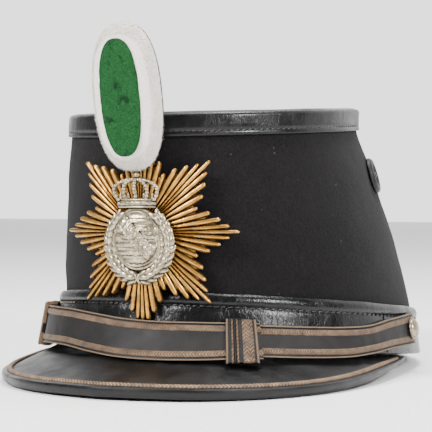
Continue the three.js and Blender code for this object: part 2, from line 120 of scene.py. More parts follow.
BUTTON_HEIGHT = 12
PEAK_END = 86.0           # angle at which the peak runs out
PEAK_TOP = 3.3            # upper face of the peak over the lower face of its binding
PEAK_ROOT = 3.5           # how far the peak tucks in under the band
BAND_HEIGHT = 22.5
BAND_BOTTOM = (102.2, 84.6)   # half length and half width of the band at its lower edge
BAND_TAPER = (3.0, 2.9)       # how much less they are at its upper edge
BAND_SHIFT = 0.8              # to the wearer's right at its upper edge
STAR_BEND = 91.0          # radius of the upright cylinder that the star is bent round
STAR_AT = (-1.0, -106.7, 49.7)
STAR_TURN = 95.9          # degrees from flat to upright, the top leaning forward
STAR_REACH = 42.8
COCKADE_AT = (-2.6, -110.6, 76.0)
COCKADE_TURN = 101.0
COCKADE_ROLL = 3.0
COCKADE_SIZE = (63.0, 31.5)
COCKADE_POWER = 2.5       # boxier than an ellipse
INLAY_SIZE = (50.0, 18.6)
SHIELD_UP = -2.8


# ---------------------------------------------------------------- outlines

def table_at(rows, column, at):
    """One column of a table at any place, on a smooth curve through its rows."""
    last = len(rows) - 1
    row = 0
    while row < last - 1 and at > rows[row + 1][0]:
        row += 1
    low, high = rows[row], rows[row + 1]
    span = high[0] - low[0]
    t = min(max((at - low[0]) / span, 0), 1)

    def slope(i):
        before, after = rows[max(i - 1, 0)], rows[min(i + 1, last)]
        return (after[column] - before[column]) / (after[0] - before[0])

    t2, t3 = t * t, t * t * t
    return ((2 * t3 - 3 * t2 + 1) * low[column] + (t3 - 2 * t2 + t) * span * slope(row)
            + (3 * t2 - 2 * t3) * high[column] + (t3 - t2) * span * slope(row + 1))


def oval(half_length, half_width, angle, outward, power=OVAL):
    """A point of an oval; the angle runs from the front towards the wearer's left."""
    s, c = math.sin(math.radians(angle)), math.cos(math.radians(angle))
    size = (abs(s) ** power + abs(c) ** power) ** (-1 / power)
    x, y = half_width * size * s, -half_length * size * c
    nx = math.copysign(abs(x / half_width) ** (power - 1) / half_width, x)
    ny = math.copysign(abs(y / half_length) ** (power - 1) / half_length, y)
    length = math.hypot(nx, ny)
    return x + outward * nx / length, y + outward * ny / length


def hat(x, y, z):
    """A point of the hat frame, in millimetres, as a point of the row frame, in metres."""
    c, s = math.cos(TIP_BACK), math.sin(TIP_BACK)
    return (Vector((x, y * c + z * s, z * c - y * s)) + HAT_AT) * MM


def body_point(angle, height, outward):
    row = [table_at(BODY_ROWS, n, height) for n in range(1, 6)]
    slope, forward, right, half_length, half_width = row
    x, y = oval(half_length, half_width, angle, outward)
    y -= forward
    return Vector((x - right, y, height + math.tan(math.radians(slope)) * y))


def band_point(angle, height, outward):
    share = height / BAND_HEIGHT
    half_length, half_width = (low - less * share for low, less in zip(BAND_BOTTOM, BAND_TAPER))
    x, y = oval(half_length, half_width, angle, outward)
    return Vector((x - BAND_SHIFT * share, y, height))


def peak_thinning(angle):
    """The leather is pared down towards the two ends of the peak."""
    t = min(max((abs(angle) - 62) / 24, 0), 1)
    return 1 - 0.4 * t * t * (3 - 2 * t)


def peak_shape(angle):
    """Reach, drop and slope of the peak."""
    at = abs(angle)
    reach, drop = table_at(PEAK_ROWS, 1, at), table_at(PEAK_ROWS, 2, at)
    slope = math.atan2(drop - PEAK_TOP * peak_thinning(at) - AIR, reach + PEAK_ROOT)
    return reach, drop, slope


def peak_point(angle, inward, up):
    """A point of the peak: inward from its edge along the slope, and up square to it."""
    reach, drop, slope = peak_shape(angle)
    inward, up = inward * peak_thinning(angle), up * peak_thinning(angle)
    outward = reach - inward * math.cos(slope) + up * math.sin(slope)
    x, y = oval(*BAND_BOTTOM, angle, outward)
    return Vector((x, y, -drop + inward * math.sin(slope) + up * math.cos(slope)))


def peak_length(angle):
    reach, _, slope = peak_shape(angle)
    return (reach + PEAK_ROOT) / math.cos(slope) / peak_thinning(angle)


def strap_point(angle, down, outward):
    """A point of the strap: down from its upper edge and out from its inner face."""
    top, bottom, top_out, bottom_out = (table_at(STRAP_ROWS, n, angle) for n in range(1, 5))
    out = top_out + (bottom_out - top_out) * down / (top - bottom)
    return band_point(angle, top - down, out + outward)


def strap_height(angle):
    return table_at(STRAP_ROWS, 1, angle) - table_at(STRAP_ROWS, 2, angle)


def upright(x, y, z, degrees, at):
    """Turns a point of a flat place about X and moves it into the hat frame."""
    c, s = math.cos(math.radians(degrees)), math.sin(math.radians(degrees))
    return Vector((x, y * c - z * s, y * s + z * c)) + Vector(at)


def star_point(x, y, z):
    """From the star's own flat place, X to the wearer's left, Y up and Z out, to the hat frame."""
    turn, radius = x / STAR_BEND, STAR_BEND + z
    return upright(radius * math.sin(turn), y, radius * math.cos(turn) - STAR_BEND, STAR_TURN, STAR_AT)


def cockade_point(x, y, z):
    """From the cockade's own upright place, measured from its lower tip, to the hat frame."""
    c, s = math.cos(math.radians(COCKADE_ROLL)), math.sin(math.radians(COCKADE_ROLL))
    return upright(x * c - y * s, x * s + y * c, z, COCKADE_TURN, COCKADE_AT)


def rough(v, scale, seed=0.0):
    """Smooth noise from -1 to 1 with that spacing in millimetres."""
    return noise.noise(Vector((v[0] / scale + seed, v[1] / scale - seed, v[2] / scale + 3 * seed)))


# ---------------------------------------------------------------- meshes
# Surfaces that follow the hat's ovals have no primitive to start from, so they are written point by point.

class Shape:
    """Vertices, faces, a flat place for the texture and a material number for each face."""

    def __init__(self):
        self.verts, self.faces, self.flat, self.looks = [], [], [], []

    def sweep(self, rows, closed_rows=False, closed_columns=True, caps=True, look=0, flat=None):
        """Joins rows of points, each row a profile, into a skin."""
        start = len(self.verts)
        count, width = len(rows), len(rows[0])
        for i, row in enumerate(rows):
            for j, p in enumerate(row):
                self.verts.append(p)
                self.flat.append(flat(i, j) if flat else (i, j))
        for i in range(count if closed_rows else count - 1):
            for j in range(width if closed_columns else width - 1):
                here, ahead = start + i * width, start + (i + 1) % count * width
                k = (j + 1) % width
                self.faces.append((here + j, here + k, ahead + k, ahead + j))
                self.looks.append(look)
        if caps and not closed_rows:
            self.faces.append(tuple(start + j for j in reversed(range(width))))
            self.faces.append(tuple(start + (count - 1) * width + j for j in range(width)))
            self.looks += [look, look]

    def blob(self, place, radii, around=8, along=5, look=0, point=1.0):
        """A ball or leaf: radii along three local directions, with pointed ends if point is above one."""
        rows = []
        for i in range(along + 1):
            t = math.pi * (0.04 + 0.92 * i / along)
            rows.append([place(radii[0] * -math.cos(t),
                               radii[1] * math.sin(t) ** point * math.cos(2 * math.pi * j / around),
                               radii[2] * math.sin(t) ** point * math.sin(2 * math.pi * j / around))
                         for j in range(around)])
        self.sweep(rows, look=look)


def make(name, shape, *looks, smooth=40):
    """A piece from a shape in the hat frame, with its materials, its faces turned outward."""
    mesh = bpy.data.meshes.new(name)
    mesh.from_pydata([hat(*v) for v in shape.verts], [], shape.faces)
    mesh.polygons.foreach_set("material_index", shape.looks)
    layer = mesh.uv_layers.new(name="UVMap")
    for loop in mesh.loops:
        u, v = shape.flat[loop.vertex_index]
        layer.data[loop.index].uv = (u, v)
    obj = bpy.data.objects.new(name, mesh)
    bpy.context.scene.collection.objects.link(obj)
    for look in looks:
        mesh.materials.append(look)
    bpy.ops.object.select_all(action="DESELECT")
    obj.select_set(True)
    bpy.context.view_layer.objects.active = obj
    bpy.ops.object.mode_set(mode="EDIT")
    bpy.ops.mesh.select_all(action="SELECT")
    bpy.ops.mesh.normals_make_consistent(inside=False)
    bpy.ops.object.mode_set(mode="OBJECT")
    bpy.ops.object.shade_smooth_by_angle(angle=math.radians(smooth))
    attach(obj, "root")
    return obj


def ring(name, profile, segments, place, look, uneven=lambda p, a, n: p, flat_scale=1.4):
    shape = Shape()
    rows = []
    for i in range(segments):
        angle = 360 * i / segments - 180
        rows.append([uneven(place(angle, h, out), angle, n) for n, (out, h) in enumerate(profile)])
    step = 360 / segments * flat_scale
    shape.sweep(rows, closed_rows=True, flat=lambda i, j: (i * step, profile[j][1]))
    return make(name, shape, look)


def arc(centre, radius, start, end, count):
    """Points of a profile along an arc, angles in degrees from the outward direction upwards."""
    return [(centre[0] + radius * math.cos(math.radians(start + (end - start) * i / count)),
             centre[1] + radius * math.sin(math.radians(start + (end - start) * i / count)))
            for i in range(count + 1)]


def local_frame(surface, angle, height, outward):
    """Origin, sideways, up and outward directions of a surface at a place."""
    at = surface(angle, height, outward)
    side = (surface(angle + 0.5, height, outward) - at).normalized()
    up = (surface(angle, height + 0.5, outward) - at).normalized()
    out = side.cross(up).normalized()
    return at, side, out.cross(side).normalized(), out


def stitch_row(name, surface, height, outward, start, end, pitch, look, size=(1.05, 0.36, 0.3), radius=90):
    """A row of sewn threads along a surface."""
    shape = Shape()
    step = math.degrees(pitch / radius)
    count = int((end - start) / step)
    for n in range(count):
        angle = start + n * step
        at, side, up, out = local_frame(surface, angle, height(angle), outward)
        lift = 0.12 * rough(at, 5, 7)

        def place(x, y, z):
            return at + side * x + up * (y + x * 0.12 + lift) + out * z

        shape.blob(place, size, around=7, along=5)
    return make(name, shape, look)


# ---------------------------------------------------------------- materials

def linear(hex_colour):
    """A colour of a hex sRGB value."""
    parts = [int(hex_colour[i:i + 2], 16) / 255 for i in (1, 3, 5)]
    return tuple(p / 12.92 if p <= 0.04045 else ((p + 0.055) / 1.055) ** 2.4 for p in parts) + (1.0,)


def add(tree, kind, settings=None, **inputs):
    """Adds a node, sets its properties and fills or links its inputs, named, or numbered as in i0."""
    node = tree.nodes.new(kind)
    for key, value in (settings or {}).items():
        setattr(node, key, value)
    for key, value in inputs.items():
        numbered = key[0] == "i" and key[1:].isdigit()
        socket = node.inputs[int(key[1:]) if numbered else key.replace("_", " ")]
        if isinstance(value, bpy.types.NodeSocket):
            tree.links.new(value, socket)
        else:
            socket.default_value = value
    return node


def ramp(tree, fac, stops):
    """A colour from a value, through stops of (place, colour)."""
    node = add(tree, "ShaderNodeValToRGB", Fac=fac)
    for n, (at, colour) in enumerate(stops):
        element = node.color_ramp.elements[n] if n < 2 else node.color_ramp.elements.new(at)
        element.position = at
        element.color = linear(colour)
    return node.outputs["Color"]


def blend(tree, share, low, high, kind="MIX"):
    """A colour between two, by share."""
    return add(tree, "ShaderNodeMix", {"data_type": "RGBA", "blend_type": kind},
               i0=share, i6=low, i7=high).outputs[2]


def maths(tree, operation, a, b=0.0):
    return add(tree, "ShaderNodeMath", {"operation": operation}, i0=a, i1=b).outputs[0]


def ramp_value(tree, fac, low, high, at_low, at_high):
    """A value spread from one range to another."""
    return add(tree, "ShaderNodeMapRange", Value=fac, From_Min=low, From_Max=high,
               To_Min=at_low, To_Max=at_high).outputs["Result"]


def noise_at(tree, where, size, detail=4.0, roughness=0.6, stretch=(1, 1, 1)):
    """Noise whose features are that many millimetres across."""
    scale = [s / (size * MM) for s in stretch]
    spread = add(tree, "ShaderNodeMapping", Vector=where, Scale=scale)
    return add(tree, "ShaderNodeTexNoise", Vector=spread.outputs[0], Scale=1.0, Detail=detail,
               Roughness=roughness).outputs["Fac"]


def start(name):
    """A new material, its nodes, its surface shader and the place on the object."""
    material = bpy.data.materials.new(name)
    material.use_nodes = True
    tree = material.node_tree
    surface = tree.nodes["Principled BSDF"]
    where = add(tree, "ShaderNodeTexCoord").outputs["Object"]
    return material, tree, surface, where


def bump(tree, height, distance, strength, before=None):
    """Relief of that many millimetres, over any relief before it."""
    node = add(tree, "ShaderNodeBump", Height=height, Distance=distance * MM, Strength=strength)
    if before:
        tree.links.new(before, node.inputs["Normal"])
    return node.outputs["Normal"]


def link(tree, value, socket):
    tree.links.new(value, socket)


def felted_cloth():
    """Black wool cloth gone slightly brown, with a short matt nap and dust."""
    material, tree, surface, where = start("felted_black_cloth")
    mottle = noise_at(tree, where, 26, 5)
    fibre = noise_at(tree, where, 1.0, 4, 0.75)
    colour = ramp(tree, mottle, [(0.34, "#09080a"), (0.7, "#110f0e")])
    weave = ramp(tree, fibre, [(0.34, "#030304"), (0.68, "#201e1f")])
    mix = blend(tree, 0.5, colour, weave)
    dust = noise_at(tree, where, 2.6, 2, 0.4)
    speck = ramp_value(tree, dust, 0.765, 0.80, 0.0, 0.5)
    link(tree, blend(tree, speck, mix, linear("#55504a")), surface.inputs["Base Color"])
    surface.inputs["Roughness"].default_value = 0.92
    surface.inputs["Specular IOR Level"].default_value = 0.05
    surface.inputs["Sheen Weight"].default_value = 0.04
    surface.inputs["Sheen Roughness"].default_value = 0.6
    first = bump(tree, fibre, 0.25, 0.7)
    link(tree, bump(tree, noise_at(tree, where, 7, 3), 0.5, 0.35, first), surface.inputs["Normal"])
    return material


def lacquered(name, gloss, crackle, scuff):
    """Black lacquer over leather: crackled, with soft grey gloss and scuffed patches."""
    material, tree, surface, where = start(name)
    patch = noise_at(tree, where, 16, 5, 0.65, (1, 1, 0.6))
    fine = noise_at(tree, where, 0.9, 4, 0.65)
    cells = add(tree, "ShaderNodeMapping", Vector=where, Scale=(520, 520, 210))
    warp = add(tree, "ShaderNodeTexNoise", Vector=cells.outputs[0], Scale=1.3, Detail=2.0)
    warped = add(tree, "ShaderNodeVectorMath", {"operation": "MULTIPLY_ADD"}, i0=warp.outputs["Color"],
                 i1=(0.9, 0.9, 0.9), i2=cells.outputs[0])
    crack = add(tree, "ShaderNodeTexVoronoi", {"feature": "DISTANCE_TO_EDGE"}, Vector=warped.outputs[0],
                Scale=1.0)
    edge = ramp_value(tree, crack.outputs["Distance"], 0.0, 0.12, 0.0, 1.0)
    worn = ramp_value(tree, patch, 0.5, 0.68, 0.0, scuff)
    dull = blend(tree, worn, linear("#050506"), linear("#191717"))
    link(tree, dull, surface.inputs["Base Color"])
    link(tree, ramp_value(tree, patch, 0.3, 0.7, gloss, gloss + 0.28), surface.inputs["Roughness"])
    surface.inputs["Specular IOR Level"].default_value = 0.3
    rubbed = maths(tree, "MULTIPLY", edge, ramp_value(tree, patch, 0.42, 0.6, 0.25, 1.0))
    first = bump(tree, rubbed, 0.18, crackle)
    second = bump(tree, fine, 0.12, 0.3, first)
    link(tree, bump(tree, noise_at(tree, where, 9, 3), 0.7, 0.3, second), surface.inputs["Normal"])
    return material


def strap_leather():
    """Dry dark leather, brown where it has rubbed."""
    material, tree, surface, where = start("dark_strap_leather")
    patch = noise_at(tree, where, 9, 5, 0.65)
    grain = noise_at(tree, where, 0.7, 3)
    link(tree, ramp(tree, patch, [(0.35, "#0b0a0a"), (0.78, "#1e1a19")]), surface.inputs["Base Color"])
    link(tree, ramp_value(tree, patch, 0.3, 0.7, 0.62, 0.5), surface.inputs["Roughness"])
    surface.inputs["Specular IOR Level"].default_value = 0.22
    link(tree, bump(tree, grain, 0.15, 0.6), surface.inputs["Normal"])
    return material


def braid(name, light, dark, pitch, width):
    """Tarnished metal-thread braid: slanting threads that meet in a row of points."""
    material, tree, surface, where = start(name)
    flat = add(tree, "ShaderNodeUVMap").outputs[0]
    parts = add(tree, "ShaderNodeSeparateXYZ", Vector=flat)
    fold = maths(tree, "PINGPONG", parts.outputs["Y"], width)
    slant = maths(tree, "ADD", parts.outputs["X"], fold)
    wave = maths(tree, "SINE", maths(tree, "MULTIPLY", slant, 2 * math.pi / pitch))
    thread = ramp_value(tree, wave, -1.0, 1.0, 0.0, 1.0)
    blot = noise_at(tree, where, 5, 5, 0.7)
    worn = ramp(tree, blot, [(0.32, dark), (0.68, light)])
    shade = blend(tree, 0.75, worn, ramp(tree, thread, [(0.1, "#4d4238"), (0.7, "#ffffff")]), "MULTIPLY")
    link(tree, shade, surface.inputs["Base Color"])
    surface.inputs["Roughness"].default_value = 0.62
    surface.inputs["Metallic"].default_value = 0.15
    link(tree, bump(tree, thread, 0.25, 0.9), surface.inputs["Normal"])
    return material


def metal(name, light, dark, painted_shade_colour, roughness):
    """Old plated metal: warm and unevenly tarnished, with painted shade in its recesses."""
    material, tree, surface, where = start(name)
    blot = noise_at(tree, where, 4.5, 5, 0.65)
    base = ramp(tree, blot, [(0.34, dark), (0.62, light)])
    # Painted shade: ambient occlusion darkens the colour in recesses and between parts, where shade falls.
    occlusion = add(tree, "ShaderNodeAmbientOcclusion", {"samples": 8}, Distance=2.2 * MM)
    painted_shade = ramp_value(tree, occlusion.outputs["AO"], 0.35, 0.92, 1.0, 0.0)
    link(tree, blend(tree, painted_shade, base, linear(painted_shade_colour)), surface.inputs["Base Color"])
    surface.inputs["Metallic"].default_value = 0.92
    dull = ramp_value(tree, blot, 0.3, 0.7, roughness + 0.14, roughness - 0.04)
    link(tree, dull, surface.inputs["Roughness"])
    link(tree, bump(tree, noise_at(tree, where, 0.8, 3), 0.08, 0.4), surface.inputs["Normal"])
    return material


def wool(name, low, high, spot, spots):
    """Short dense wool, with a mealy surface and a few dirty patches."""
    material, tree, surface, where = start(name)
    fibre = noise_at(tree, where, 0.7, 4, 0.75)
    patch = noise_at(tree, where, 4.5, 4, 0.6)
    base = ramp(tree, fibre, [(0.3, low), (0.68, high)])
    dirt = ramp_value(tree, patch, spots, spots + 0.1, 0.0, 0.75)
    link(tree, blend(tree, dirt, base, linear(spot)), surface.inputs["Base Color"])
    surface.inputs["Roughness"].default_value = 1.0
    surface.inputs["Specular IOR Level"].default_value = 0.1
    link(tree, bump(tree, fibre, 0.5, 0.9), surface.inputs["Normal"])
    return material


def glowing(name, strength):
    """A white wall lit evenly from behind."""
    material, _, surface, _ = start(name)
    surface.inputs["Base Color"].default_value = (0, 0, 0, 1)
    surface.inputs["Emission Color"].default_value = (1, 1, 1, 1)
    surface.inputs["Emission Strength"].default_value = strength
    return material


def plain(name, colour, roughness, metallic=0.0):
    """One finish, faintly uneven in tone."""
    material, tree, surface, where = start(name)
    tint = noise_at(tree, where, 3, 3)
    low = tuple(0.7 * c for c in linear(colour)[:3]) + (1.0,)
    link(tree, blend(tree, tint, low, linear(colour)), surface.inputs["Base Color"])
    surface.inputs["Roughness"].default_value = roughness
    surface.inputs["Metallic"].default_value = metallic
    return material


LOOKS = {}


def look(name):
    """A material, made the first time it is asked for."""
    makers = {
        "cloth": felted_cloth,
        "band": lambda: lacquered("crackled_lacquer_band", 0.15, 0.42, 0.5),
        "rim": lambda: lacquered("crackled_lacquer_crown", 0.18, 0.3, 0.5),
        "peak": lambda: lacquered("lacquered_peak_leather", 0.3, 0.14, 0.5),
        "binding": lambda: lacquered("lacquered_binding", 0.22, 0.2, 0.3),
        "strap": strap_leather,
        "braid": lambda: braid("tarnished_braid", "#7d6144", "#3f2e22", 1.25, 1.3),
        "piping": lambda: braid("peak_piping_braid", "#8f7558", "#574233", 1.1, 1.0),
        "edge": lambda: plain("pale_edge_piping", "#5f4d3a", 0.7),
        # The third colour of each metal is the painted shade in its recesses.
        "gilt": lambda: metal("old_gilt_brass", "#c4924a", "#8a6530", "#241505", 0.25),
        "silver": lambda: metal("tarnished_silver", "#b9ac93", "#7d715d", "#1c160f", 0.25),
        "white": lambda: wool("white_wool", "#c9c1b7", "#efeae3", "#a89c8d", 0.66),
        "green": lambda: wool("green_wool", "#0d2a15", "#1f5029", "#081a0d", 0.55),
        "dark": lambda: plain("blackened_iron", "#1b1a1b", 0.5, 0.5),
        "thread": lambda: plain("black_waxed_thread", "#232120", 0.45),
        "pale_thread": lambda: plain("pale_waxed_thread", "#8f8676", 0.7),
        "backdrop": lambda: glowing("lit_white_wall", 2.2),
        "floor": lambda: plain("pale_floor", "#fdfdfc", 0.9),
    }
    if name not in LOOKS:
        LOOKS[name] = makers[name]()
    return LOOKS[name]


# ---------------------------------------------------------------- body, crown and head band

def risen(height, angle):
    """The band is taller at the front than at the rear."""
    return height * (1 + 2.1 / BAND_HEIGHT * math.cos(math.radians(angle)))


def build_body(settings):
    """The cloth body, head band, crown rim and crown top, with their sewn rows."""
    heights = [2 + (113.3 - 2) * n / 44 for n in range(45)]
    outside = [(0, h) for h in heights]
    inside = [(-2, h) for h in reversed(heights)]

    def slack(p, angle, n):
        # The cloth lies a little unevenly over its board.
        soft = 0.35 * rough(p, 30, 2) + 0.12 * rough(p, 8, 5)
        return p + Vector((soft, soft, 0)) * (1 if n < 45 else 0.2)

    body = ring("cloth_shell", outside + inside, settings.segments, body_point, look("cloth"), slack)
    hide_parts("cloth_body")

    def band_place(angle, height, outward):
        full = risen(height, angle)
        if outward > -0.5:
            return band_point(angle, full, outward)
        return body_point(angle, full, 0.6)

    face = [(0, 0.5 + n * 1.3) for n in range(13)]
    roll = [(0.05 + 0.75 * math.sin(math.pi * n / 8) ** 0.6, 17.9 + 4.2 * n / 8) for n in range(9)]
    profile = ([(-1, 0.3), (-0.4, 0)] + face + [(-0.35, 17.2)] + roll
               + [(-0.3, 22.5), (-1, 22.5), (-1, 17), (-1, 9)])

    def worn(p, angle, n):
        return p + Vector((0, 0, 0.25 * rough(p, 14, 4) * (1 if 3 < n < 26 else 0)))

    band = ring("lacquered_band", profile, settings.segments, band_place, look("band"), worn)
    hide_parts("head_band")

    def sewn_height(angle):
        return risen(17.25, angle)

    for name, first, last, thread in (("band_stitches", -30, 330, "thread"),
                                      ("band_stitches_pale", -68, -31, "pale_thread")):
        sewn = stitch_row(name, band_point, sewn_height, 0.0, first, last, 3.2, look(thread))

    seam = Shape()
    for n in range(24):
        h = 1.5 + n * 0.66
        at = band_point(77, h, 0.12)
        seam.blob(lambda x, y, z: at + Vector((z, x * 0.6, y)), (0.3, 0.42, 0.3), 6, 4)
    make("band_seam", seam, look("strap"))

    # Outward and up from the rim's lower edge; the dip is its sewn row.
    rim = [(0.3, 0.2), (0.9, 0), (1.6, 0.1), (1.8, 0.6), (1.75, 1.8), (1.45, 2.3), (1.75, 2.8), (1.9, 4),
           (1.85, 5.6), (1.8, 7.0)]
    rim = [(out, RIM_LOW + up) for out, up in rim]
    rim += arc((-0.2, 113.7), 2.0, 0, 88, 7)
    rim += [(-0.8, 115.7), (-0.6, 113.9), (0.3, 113.7)]

    def pressed(p, angle, n):
        soft = 0.3 * rough(p, 12, 9) + 0.16 * rough(p, 4, 1)
        bulge = 0.9 * math.exp(-((angle - 150) / 9) ** 2) - 0.5 * math.exp(-((angle - 132) / 7) ** 2)
        lift = (bulge + 0.3 * rough(p, 22, 6)) if 9 < n < 20 else 0
        return p + Vector((0, 0, lift)) + Vector((p[0], p[1] + 31, 0)).normalized() * soft * 0.6

    crown = ring("crown_rim_leather", rim, settings.segments, body_point, look("rim"), pressed)
    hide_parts("crown_rim")
    rim_row = stitch_row("rim_stitches", body_point, lambda a: RIM_LOW + 2.3, 1.5, -180, 180, 2.7,
                         look("thread"), (0.95, 0.33, 0.34), 70)

    top = Shape()
    rows = []
    shares = [1.0, 0.985, 0.96, 0.9, 0.8, 0.65, 0.5, 0.35, 0.2, 0.08, 0.01]
    middle = (body_point(0, CROWN_HEIGHT, -0.7) + body_point(180, CROWN_HEIGHT, -0.7)) / 2
    for share in [1.0] + shares:
        low = len(rows) == 0
        row = []
        for n in range(144):
            p = body_point(n * 2.5, CROWN_HEIGHT, -0.7)
            q = middle + (p - middle) * share
            q.z += -2.0 if low else 0.25 * rough(q, 20, 3) - 0.5 * (share > 0.99)
            row.append(q)
        rows.append(row)
    top.sweep(rows)
    lid = make("crown_leather", top, look("rim"))
    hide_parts("crown_top")


# ---------------------------------------------------------------- peak

def build_peak(settings):
    """The peak with its turned edge binding and its braid piping."""
    steps = settings.segments // 2
    angles = [-PEAK_END + 2 * PEAK_END * n / steps for n in range(steps + 1)]

    shares = [n / 18 for n in range(19)]
    plate = Shape()
    rows = []
    for angle in angles:
        length = peak_length(angle)
        row = [peak_point(angle, 1.3 + (length - 1.3) * s, 1.3) for s in shares]
        for s in reversed(shares):
            inward = 1.3 + (length - 1.3) * s
            p = peak_point(angle, inward, PEAK_TOP)
            wave = 0.16 * rough(p, 9, 3) + 0.28 * rough(p, 24, 8)
            # A creased fold in the leather on the wearer's left.
            crease = 0.9 * math.exp(-(((angle - 63) - 0.55 * abs(inward - 9)) / 1.1) ** 2) * (5 < inward < 16)
            row.append(p + Vector((0, 0, wave * min(s * 6, 1) + crease * 0.7)))
        rows.append(row)
    plate.sweep(rows)
    peak = make("peak_leather", plate, look("peak"))
    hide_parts("peak")

    roof = PEAK_TOP + AIR
    edge = Shape()
    profile = [(3, 1.0), (3, 0.25), (2.5, 0.0), (1.2, 0.0), (0.4, 0.25), (0.0, 1.1), (-0.05, 2.2), (0.1, 3.4),
               (0.7, roof + 0.75), (1.6, roof + 0.95), (2.5, roof + 0.85), (3.05, roof + 0.45), (3.0, roof),
               (1.0, roof), (1.0, 1.0)]
    rows = []
    for angle in angles:
        row = []
        for x, y in profile:
            p = peak_point(angle, x, y)
            row.append(p + Vector((0, 0, 0.12 * rough(p, 6, 2) if y > 2 else 0)))
        rows.append(row)
    edge.sweep(rows)
    binding = make("peak_edge_binding", edge, look("binding"))
    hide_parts("peak_binding")

    trim = Shape()
    rows = []
    turns = [math.radians(t) for t in range(0, 360, 30)]
    for angle in [a * (PEAK_END - 4) / PEAK_END for a in angles]:
        rows.append([peak_point(angle, 4.35 + 1.3 * math.cos(t), roof + 0.5 + math.sin(t)) for t in turns])
    trim.sweep(rows, flat=lambda i, j: (i * 250 / steps, j * 0.4))
    piping = make("peak_braid_piping", trim, look("piping"))
    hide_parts("peak_piping")


# ---------------------------------------------------------------- chin strap

def strap_piece(name, node, start_angle, end_angle, layer_at, inset):
    """One half of the strap: leather with a braid stripe and a thin piping along each edge."""
    steps = int(abs(end_angle - start_angle) * 2.2)
    angles = [start_angle + (end_angle - start_angle) * n / steps for n in range(steps + 1)]
    run = [0.0]
    for a, b in zip(angles, angles[1:]):
        run.append(run[-1] + (strap_point(a, 5, 2) - strap_point(b, 5, 2)).length)
    shape = Shape()

    def strips(bands, lift, wall, look_number, arch=0.0):
        for low, high in bands:
            rows = []
            for angle in angles:
                height = strap_height(angle)
                first, last = (v if v >= 0 else height + v for v in (low, high))
                layer = layer_at(angle) * STRAP_LAYER
                shares = [0, 0.12, 0.3, 0.5, 0.7, 0.88, 1]
                downs = [first + (last - first) * s for s in shares]
                outs = [wall * (1 if 0 < s < 1 else 0.6) + arch * math.sin(math.pi * s) for s in shares]
                face = [strap_point(angle, down, layer + lift + out) for down, out in zip(downs, outs)]
                back = [strap_point(angle, down, layer + lift) for down in reversed(downs)]
                rows.append(face + back)
            shape.sweep(rows, look=look_number, flat=lambda i, j: (run[i], (min(j, 13 - j)) * 0.43))

    strips([(inset, -0.01 - inset)], 0, STRAP_WALL - 0.15, 0)
    strips([(1.35 + inset, 3.9 + inset), (-3.9 - inset, -1.35 - inset)], STRAP_WALL - 0.5, 0.65, 1, 0.15)
    strips([(inset, 0.62 + inset), (-0.62 - inset, -0.01 - inset)], STRAP_WALL - 0.5, 0.6, 2, 0.15)
    strap = make(name, shape, look("strap"), look("braid"), look("edge"))
    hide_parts(node)


def build_strap(settings):
    """The two halves of the chin strap, their sliders and the buttons."""
    landing = SLIDERS["right"] - 7
    rise = 12

    def layer(angle):
        t = min(max((angle - landing + rise) / rise, 0), 1)
        return t * t * (3 - 2 * t)

    past = 5
    strap_piece("chin_strap_outer", "strap_outer_half", -STRAP_END, SLIDERS["left"] + past, layer, 0.0)
    strap_piece("chin_strap_under", "strap_under_half", SLIDERS["right"] - past, STRAP_END,
                lambda _: 0.0, 0.8)
    for side in SLIDERS:
        slider_piece(side)
        button_piece(side)


def slider_sleeve(shape, middle, front, steps, end_look):
    """The leather sleeve of a slider: an outer and an inner skin joined at both open ends."""
    edge, air, wall = 1.7, AIR, 1.2
    first = len(shape.verts)
    for n in range(steps + 1):
        angle = middle + (n / steps - 0.5) * SLIDER_DEGREES
        height = strap_height(angle)
        outer = [(-edge, -0.9), (-edge - 0.2, front * 0.5), (-edge + 0.5, front + 1.0),
                 (height * 0.25, front + wall), (height * 0.5, front + wall), (height * 0.75, front + wall),
                 (height + edge - 0.5, front + 1.0), (height + edge + 0.2, front * 0.5),
                 (height + edge, -0.9), (height * 0.5, -1.05)]
        inner = [(-air, -air), (-air, front * 0.5), (-air, front), (height * 0.25, front),
                 (height * 0.5, front), (height * 0.75, front), (height + air, front),
                 (height + air, front * 0.5), (height + air, -air), (height * 0.5, -air)]
        for down, out in outer + inner:
            shape.verts.append(strap_point(angle, down, out))
            shape.flat.append((n, 0))
    count = 10
    row = 2 * count
    for i in range(steps + 1):
        for j in range(count):
            a, b = first + i * row + j, first + i * row + (j + 1) % count
            c, d = a + count, b + count
            if i < steps:
                shape.faces += [(a, b, b + row, a + row), (c, c + row, d + row, d)]
                shape.looks += [0, 0]
            if i in (0, steps):
                shape.faces.append((a, c, d, b) if i == 0 else (a, b, d, c))
                shape.looks.append(end_look if i == steps and j not in (4, 9) else 0)


